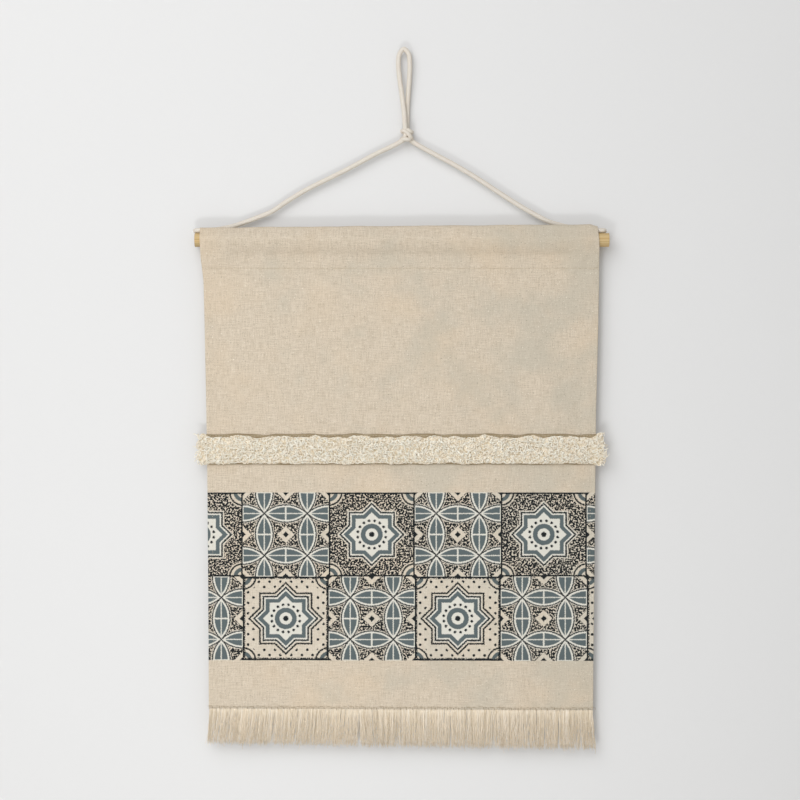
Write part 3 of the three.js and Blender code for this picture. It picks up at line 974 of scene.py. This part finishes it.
def pile_yarns(row):
    """The lines of one row of short yarns, each curled on itself, that lie over the pile's roots."""
    count = YARNS_PER_ROW
    share = (np.arange(count) + random.uniform(0, 1, count)) / count
    x = PILE_FIRST + share * (PILE_LAST - PILE_FIRST)
    across = 0.98 * (2 * (row + random.uniform(0, 1, count)) / PILE_ROWS - 1)
    middle, half = pile_band(x)
    z = middle + half * across
    surface = tape_front_y(x, z)
    points = np.stack([x, surface - ROOTS_HEIGHT * crown(across) + 0.8 * MM, z], axis=1)
    at_right = smooth_step(PILE_LAST - 12 * MM, PILE_LAST, x)
    at_end = at_right - smooth_step(-PILE_FIRST - 12 * MM, -PILE_FIRST, -x)
    ways = random.normal(0, 0.8, (count, 3)) + [0, -0.9, 0]
    ways[:, 0] += at_end * 0.9
    ways = unit(ways)
    spin = random.choice([-1.0, 1.0], (count, 1)) * [0, 1.4, 0]
    axes = unit(random.normal(0, 0.5, (count, 3)) + spin)
    bend = random.uniform(0.3, 0.9, (count, 1)) * (1 - 0.6 * np.abs(at_end))[:, None]
    step = random.uniform(1.1, 1.8, (count, 1)) * MM
    lines = [points]
    for _ in range(YARN_POINTS - 1):
        ways = curl(ways, axes, bend)
        moved = lines[-1] + ways * step
        middle, half = pile_band(moved[:, 0])
        across = np.clip((moved[:, 2] - middle) / half, -1, 1)
        moved[:, 2] = middle + half * across
        surface = tape_front_y(moved[:, 0], moved[:, 2])
        low = ROOTS_HEIGHT * crown(across) - 0.3 * MM
        depth = np.clip(surface - moved[:, 1], low, low + CURL_HEIGHT)
        moved[:, 1] = surface - depth
        lines.append(moved)
    return np.stack(lines, axis=1)


def make_pile_row(row):
    """One of the rows of curled yarns, mostly pale and now and then a darker one."""
    lines = pile_yarns(row)
    profile = np.array([0.9, 1.0, 1.05, 1.0, 1.05, 1.0, 0.9, 0.45])
    radii = PILE_YARN_R * profile * random.uniform(0.75, 1.2, (YARNS_PER_ROW, 1))
    points, faces = tubes(lines, radii, YARN_SIDES)
    piece = mesh_piece(f"pile_yarns_{row + 1}", points, faces, PILE)
    tones = 1.1 - 0.9 * random.uniform(0, 1, YARNS_PER_ROW) ** 2
    point_values(piece, "tone", np.repeat(tones, YARN_POINTS * YARN_SIDES))
    return piece


# ---- the fringe

# Where the fringe parts, as shares of its width, and how wide each gap is at the tips.
BUNCH_EDGES = [0, 0.39, 0.49, 0.63, 0.742, 0.912, 0.953, 1]
TIP_GAPS = [0, 7 * MM, 2.5 * MM, 2 * MM, 3 * MM, 3 * MM, 2.5 * MM, 0]
YARNS_PER_MM = 5.6
FRINGE_YARN_R = 0.27 * MM
FRINGE_POINTS = 10
FLARE = 5 * MM
WISP_SPACING = 11 * MM
STRAY_SHARE = 0.05
LONG_SHARE = 0.06
SHORT_SHARE = 0.12


def fringe_tips(bunch, first, last, root_x):
    """Where the tips of a bunch hang: clear of the gaps, drawn together in small wisps, a few astray."""
    count = len(root_x)
    tip_first = first + TIP_GAPS[bunch] / 2 - (FLARE if bunch == 0 else 0)
    tip_last = last - TIP_GAPS[bunch + 1] / 2 + (FLARE if bunch == len(TIP_GAPS) - 2 else 0)
    share = (root_x - first) / (last - first)
    tip_x = tip_first + share * (tip_last - tip_first)
    wisps = max(2, round((last - first) / WISP_SPACING))
    wisp_at = np.sort(random.uniform(tip_first, tip_last, wisps))
    nearest = wisp_at[np.argmin(np.abs(tip_x[:, None] - wisp_at[None]), axis=1)]
    pull = random.uniform(0.0, 0.14, count)
    tip_x = tip_x + (nearest - tip_x) * pull + random.normal(0, 1.0 * MM, count)
    stray = random.uniform(0, 1, count) < STRAY_SHARE
    return tip_x + np.where(stray, random.normal(0, 6 * MM, count), 0)


def fringe_yarns(bunch):
    """The lines of one bunch of warp yarns, which parts from the next towards its tips."""
    low, high = cloth_ends(AT_FRINGE, 0.6 * MM)
    first = low + (high - low) * BUNCH_EDGES[bunch]
    last = low + (high - low) * BUNCH_EDGES[bunch + 1]
    count = round((last - first) / MM * YARNS_PER_MM)
    root_x = np.sort(random.uniform(first, last, count))
    tip_x = fringe_tips(bunch, first, last, root_x)
    root_z = HEM_Z + 1.0 * MM + hem_slope(root_x, HEM_Z)
    length = root_z - FRINGE_END_Z - 2 * MM + random.normal(0, 1.9 * MM, count) + 4.5 * MM * root_x / 0.28
    length += np.where(random.uniform(0, 1, count) < LONG_SHARE, random.uniform(1, 5, count) * MM, 0)
    length -= np.where(random.uniform(0, 1, count) < SHORT_SHARE, random.uniform(2, 13, count) * MM, 0)
    t = np.linspace(0, 1, FRINGE_POINTS)
    sway = random.normal(0, 0.8 * MM, (count, 1)) * np.sin(t * math.pi * random.uniform(0.8, 2.2, (count, 1)))
    kink = random.normal(0, 0.75 * MM, (count, FRINGE_POINTS)) * t
    x = root_x[:, None] + (tip_x - root_x)[:, None] * t ** 1.25 + sway * t ** 0.5 + kink
    root_y = CLOTH_Y + panel_shift(root_x, HEM_Z)
    deep = random.uniform(-1.0, 1.0, (count, 1)) * 1.5 * MM
    y = root_y[:, None] + deep * t ** 0.6 + random.normal(0, 0.25 * MM, (count, FRINGE_POINTS)) * t
    z = root_z[:, None] - length[:, None] * t
    return np.stack([x, y, z], axis=-1)


def make_fringe_bunch(bunch):
    """One bunch of loose warp yarns, each a little thinner at its tip."""
    lines = fringe_yarns(bunch)
    count = len(lines)
    taper = np.interp(np.arange(FRINGE_POINTS), [0, 2, FRINGE_POINTS - 1], [1.5, 1.05, 0.62])
    radii = FRINGE_YARN_R * taper * random.uniform(0.7, 1.35, (count, 1))
    points, faces = tubes(lines, radii, YARN_SIDES)
    piece = mesh_piece(f"fringe_yarns_{bunch + 1}", points, faces, WARP)
    point_values(piece, "tone", np.repeat(random.uniform(0, 1, count), FRINGE_POINTS * YARN_SIDES))
    return piece


# ---- the hanging cord

CORD_D = 6.5 * MM
CORD_R = CORD_D / 2
BRAID_STRANDS = 8
BRAID_PITCH = 27 * MM
BRAID_RELIEF = 0.13
CORD_SIDES = 40
CORD_STEP = 0.7 * MM
# Where a knot is pulled tight, the cord is squeezed thinner.
KNOT_CORD_R = 2.9 * MM
STOPPER_CORD_R = 1.75 * MM
# The height of the cord where it turns into the pocket, in millimetres.
TIE_Z = -261.6

# The cord's route in millimetres, the same as the CAD's, from the stopper knot under the left end of the rod
# to the one under the right end. Each side goes up through the rod, out of the pocket, round its edge and
# along the back of the crease.
LEFT_TIE = [
    (-277, -10, -290), (-277, -10, -278), (-277, -10, -267), (-278.6, -10, -262.7), (-284, -10, TIE_Z),
    (-297.2, -10, TIE_Z), (-301.5, -8.4, TIE_Z), (-302.8, -5, TIE_Z), (-301.5, -1.6, TIE_Z),
    (-297.2, 0, TIE_Z),
]
RIGHT_TIE = [
    (285.4, 0, TIE_Z), (289.7, -1.6, TIE_Z), (291, -5, TIE_Z), (289.7, -8.4, TIE_Z), (285.4, -10, TIE_Z),
    (278, -10, TIE_Z), (272.6, -10, -262.7), (271, -10, -267), (271, -10, -278), (271, -10, -290),
]
LEFT_LEG = [
    (-284.4, 0, -261.4), (-270, 0, -259), (-249, 0, -254.6), (-217.5, 0, -243.6), (-193, 0, -233.5),
    (-168, 0, -217), (-141, 0, -201), (-113, 0, -187), (-84, 0, -172.6), (-41, 0, -149.5), (-8, -1.2, -133.6),
]
RIGHT_LEG = [
    (16.5, 1.2, -134), (44, 0, -149.5), (71, 0, -163.9), (101.5, 0, -181.8), (132, 0, -201.6), (162, 0, -221),
    (186, 0, -235), (211, 0, -248), (240, 0, -256), (262, 0, -259.5), (277.4, 0, -261.4),
]
INTO_KNOT = [(0.5, -2.6, -127.5), (2.4, -3.3, -119)]
LOOP = [
    (1.5, -3.5, -109), (0.8, -3.5, -95), (-0.8, -3.2, -80), (-3.5, -2.4, -60), (-6.5, -1.3, -38),
    (-8, -0.4, -18), (-6.4, 0, -4), (0, 0, 3.25), (6.8, 0, -4), (8.6, 0.4, -18), (8, 1.3, -38),
    (6.5, 2.4, -60), (5.2, 3.2, -80), (4.8, 3.5, -95), (4.7, 3.5, -109),
]
OUT_OF_KNOT = [(5.8, 3.2, -119), (9, 2.6, -128)]

# The turns of the knots that show, in millimetres about the knot's middle.
KNOT_TURN = [
    (1, 3, 5), (-4.6, 3.6, 5.2), (-6.5, -1.4, 5.6), (-3.2, -5.6, 5.2), (1.8, -6.7, 1.4), (5.8, -4.2, -3.2),
    (6.6, 2.2, -4.6), (0.4, 6.3, -3.4), (-5.6, 3.6, -4.8), (-6.6, -2.2, -5.9), (-1.8, -6.1, -6.9),
    (3.2, -5.2, -6.9), (5, -1, -5.4),
]
KNOT_TUCK = [
    (-1, 5.4, 1.2), (4.6, 4.6, 3.2), (7.2, 0.2, 3.8), (5.4, -4.4, 4.4), (1.6, -4.8, 6.6), (0, -1.5, 6),
]
STOPPER_TURN = [
    (0.5, 0, 4.5), (3.4, 1.2, 2.6), (1.6, 3.6, 0.6), (-2.8, 2.4, 0.8), (-3.4, -2.2, 0), (0.8, -3.6, -0.8),
    (3.6, -0.6, -1), (1.2, 3, -2), (-2.6, 0.8, -2.2), (-0.6, -1.6, -2.6), (0.4, 0, -4.6),
]


def braid_height(around, along):
    """Height of a round braid, 0 in its gaps and 1 on its strands, at turns around and turns along it."""
    one = (around + along) * BRAID_STRANDS
    other = (around - along) * BRAID_STRANDS
    over = (np.floor(one) + np.floor(other)) % 2 < 1
    across = np.where(over, one, other) % 1
    lengthways = np.where(over, other, one) % 1
    return np.sin(math.pi * across) * (0.7 + 0.3 * np.sin(math.pi * lengthways))


def braided_cord(name, line, radius):
    """A cord of round-braided cotton along a line."""
    right, up = side_vectors(line[None])
    along = distance_along(line)[:, None]
    around = np.arange(CORD_SIDES)[None] / CORD_SIDES
    angle = 2 * math.pi * around[..., None]
    height = braid_height(around, along / (BRAID_PITCH * radius / CORD_R))
    swell = 1 + 0.015 * np.sin(along * 240) * np.sin(along * 91)
    reach = radius * (1 + BRAID_RELIEF * (height - 0.45)) * swell
    rings = right[0][:, None] * np.cos(angle) + up[0][:, None] * np.sin(angle)
    points = line[:, None] + rings * reach[..., None]
    piece = mesh_piece(name, points.reshape(-1, 3), tube_faces(1, len(line), CORD_SIDES), CORD)
    point_values(piece, "braid", height.ravel())
    return piece


def joined(name, pieces):
    """Several pieces as one object."""
    with bpy.context.temp_override(active_object=pieces[0], selected_editable_objects=pieces):
        bpy.ops.object.join()
    pieces[0].name = name
    return pieces[0]


def make_cords():
    """The whole cord as one curve, cut where hanger_fold lets it turn, with its three knots."""
    route = LEFT_TIE + LEFT_LEG + INTO_KNOT + LOOP + OUT_OF_KNOT + RIGHT_LEG + RIGHT_TIE
    whole = curve_through(np.array(route) * MM, CORD_STEP)
    cuts = [nearest_point(whole, LEFT_LEG[0]), nearest_point(whole, RIGHT_LEG[-1])]
    ties = {"left": whole[:cuts[0] + 1], "right": whole[cuts[1]:]}
    cord_line = whole[cuts[0]:cuts[1] + 1]
    cord = braided_cord("hanging_cord", cord_line, CORD_R)
    knot_lines = [curve_through(np.array(turn) * MM + KNOT, CORD_STEP) for turn in (KNOT_TURN, KNOT_TUCK)]
    turns = [braided_cord("apex_knot_turn", line, KNOT_CORD_R) for line in knot_lines]
    knot = joined("apex_knot_turns", turns)
    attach(cord, "hanger")
    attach(knot, "hanger")
    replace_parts(cord, "hanging_loop", "hanger_cord_left", "hanger_cord_right")
    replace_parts(knot, "apex_knot")
    for side, line in ties.items():
        tie = braided_cord(f"cord_turn_{side}", line, CORD_R)
        low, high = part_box(f"stopper_knot_{side}")
        turn = curve_through(np.array(STOPPER_TURN) * MM + (low + high) / 2, CORD_STEP)
        stopper = braided_cord(f"stopper_turns_{side}", turn, STOPPER_CORD_R)
        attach(tie, "rod")
        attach(stopper, "rod")
        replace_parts(tie, f"cord_tie_{side}")
        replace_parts(stopper, f"stopper_knot_{side}")
        free_end = line[-1] if side == "left" else line[0]


def nearest_point(line, place_mm):
    """Which point of a line is nearest to a place on the route."""
    return int(np.argmin(np.linalg.norm(line - np.array(place_mm) * MM, axis=1)))


# ---- the whole object


def finish_dowel():
    """The CAD's own dowel, with smooth sides and crisp ends, in wood."""
    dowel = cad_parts["dowel"]
    dowel.data.materials.clear()
    dowel.data.materials.append(WOOD)
    dowel.data.polygons.foreach_set("use_smooth", [True] * len(dowel.data.polygons))
    dowel.data.set_sharp_from_angle(angle=math.radians(40))
    bevel = dowel.modifiers.new("eased_ends", "BEVEL")
    bevel.width = 0.5 * MM
    bevel.segments = 2
    bevel.limit_method = "ANGLE"
    bevel.angle_limit = math.radians(50)


def make_cloth_pieces():
    """The canvas, with its threads, pile and fringe."""
    canvas = bend_with_lift(make_canvas())
    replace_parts(canvas, "rod_sleeve", "canvas_panel", "side_hem_left", "side_hem_right")
    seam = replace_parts(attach(make_seam_thread(), "sleeve"), "sleeve_seam_thread")
    for side, edge, inwards in (("left", LEFT_EDGE, 1), ("right", RIGHT_EDGE, -1)):
        hem = bend_with_lift(make_hem_thread(f"hem_stitches_{side}", edge, inwards))
        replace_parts(hem, f"hem_thread_{side}")
    edge_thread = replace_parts(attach(make_edge_thread(), "panel"), "fringe_edge_thread")
    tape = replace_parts(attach(make_tape(), "panel"), "pile_tape")
    for side, height in (("upper", tape_high.z - TAPE_SEAM_INSET), ("lower", tape_low.z + TAPE_SEAM_INSET)):
        thread = make_tape_thread(f"pile_stitches_{side}", height)
        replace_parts(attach(thread, "panel"), f"pile_thread_{side}")
    pile = [make_pile_roots()] + [make_pile_row(row) for row in range(PILE_ROWS)]
    for piece in pile:
        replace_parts(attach(piece, "panel"), "pile_tufts")
    for bunch in range(len(BUNCH_EDGES) - 1):
        yarns = make_fringe_bunch(bunch)
        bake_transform(yarns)
        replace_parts(yarns, f"fringe_bunch_{bunch + 1}")


# ---- stage, light and camera

VIEW_CENTRE = Vector((-0.0058, CLOTH_Y, -0.5075))
VIEW_WIDTH = 1.16
LENS = 85
SENSOR = 36
WALL_Y = 9.5 * MM
WALL_TOP = 2.6
FLOOR_Z = -1.6
STAGE_REACH = 4
# Square soft boxes: a small one from below throws the shadow over the crease, a large one lights the rest.
LOW_BOX = {"place": (-0.35, -1.50, -1.55), "target": (0, 0, -0.5), "size": 0.42, "power": 9.0}
HIGH_BOX = {"place": (-0.95, -2.35, 0.90), "target": (0, 0, -1.1), "size": 2.7, "power": 52}
WORLD_LIGHT = 0.42


def stage_plane(name, points, material):
    """A flat four-cornered stage surface."""
    mesh = bpy.data.meshes.new(name)
    mesh.from_pydata(points, [], [(0, 1, 2, 3)])
    mesh.materials.append(material)
    plane = new_object(name, mesh)
    return plane


def soft_light(name, place, target, size, power):
    """A square soft box that points at the target."""
    data = bpy.data.lights.new(name, "AREA")
    data.shape = "SQUARE"
    data.size = size
    data.energy = power
    light = new_object(name, data)
    light.location = place
    light.rotation_mode = "QUATERNION"
    light.rotation_quaternion = (Vector(target) - Vector(place)).to_track_quat("-Z", "Y")
    light.visible_camera = False


def make_stage():
    """The wall behind the object, seen only from the front, and a pale floor far below it."""
    wide = STAGE_REACH
    corners = [(-wide, FLOOR_Z), (wide, FLOOR_Z), (wide, WALL_TOP), (-wide, WALL_TOP)]
    paint = stage_material("wall_paint", "e6e6e6", see_through_back=True)
    wall = stage_plane("wall", [(x, WALL_Y, z) for x, z in corners], paint)
    # The cord folds back only when the hanging is off its nail, so the wall keeps to the rod.
    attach(wall, "rod")
    # The camera sees the wall, and it catches shadows, but it doesn't tint or shade the back of the cloth.
    wall.visible_diffuse = wall.visible_glossy = wall.visible_transmission = wall.visible_shadow = False
    floor = [(-wide, -5, FLOOR_Z), (wide, -5, FLOOR_Z), (wide, 4, FLOOR_Z), (-wide, 4, FLOOR_Z)]
    stage_plane("floor", floor, stage_material("floor_paint", "e9e8e5"))
    soft_light("low_box", **LOW_BOX)
    soft_light("high_box", **HIGH_BOX)
    world = bpy.data.worlds.new("studio")
    world.use_nodes = True
    background = world.node_tree.nodes["Background"]
    background.inputs["Color"].default_value = (1, 1, 1, 1)
    background.inputs["Strength"].default_value = WORLD_LIGHT
    bpy.context.scene.world = world
    bpy.context.scene.view_settings.view_transform = "Standard"


def make_camera():
    """Square on to the front, far enough off to frame the photo's view."""
    data = bpy.data.cameras.new("camera")
    data.lens = LENS
    data.sensor_width = SENSOR
    camera = new_object("camera", data)
    camera.location = VIEW_CENTRE - Vector((0, VIEW_WIDTH * LENS / SENSOR, 0))
    camera.rotation_euler = (math.radians(90), 0, 0)
    bpy.context.scene.camera = camera


make_camera()
make_stage()
make_cords()
finish_dowel()
make_cloth_pieces()
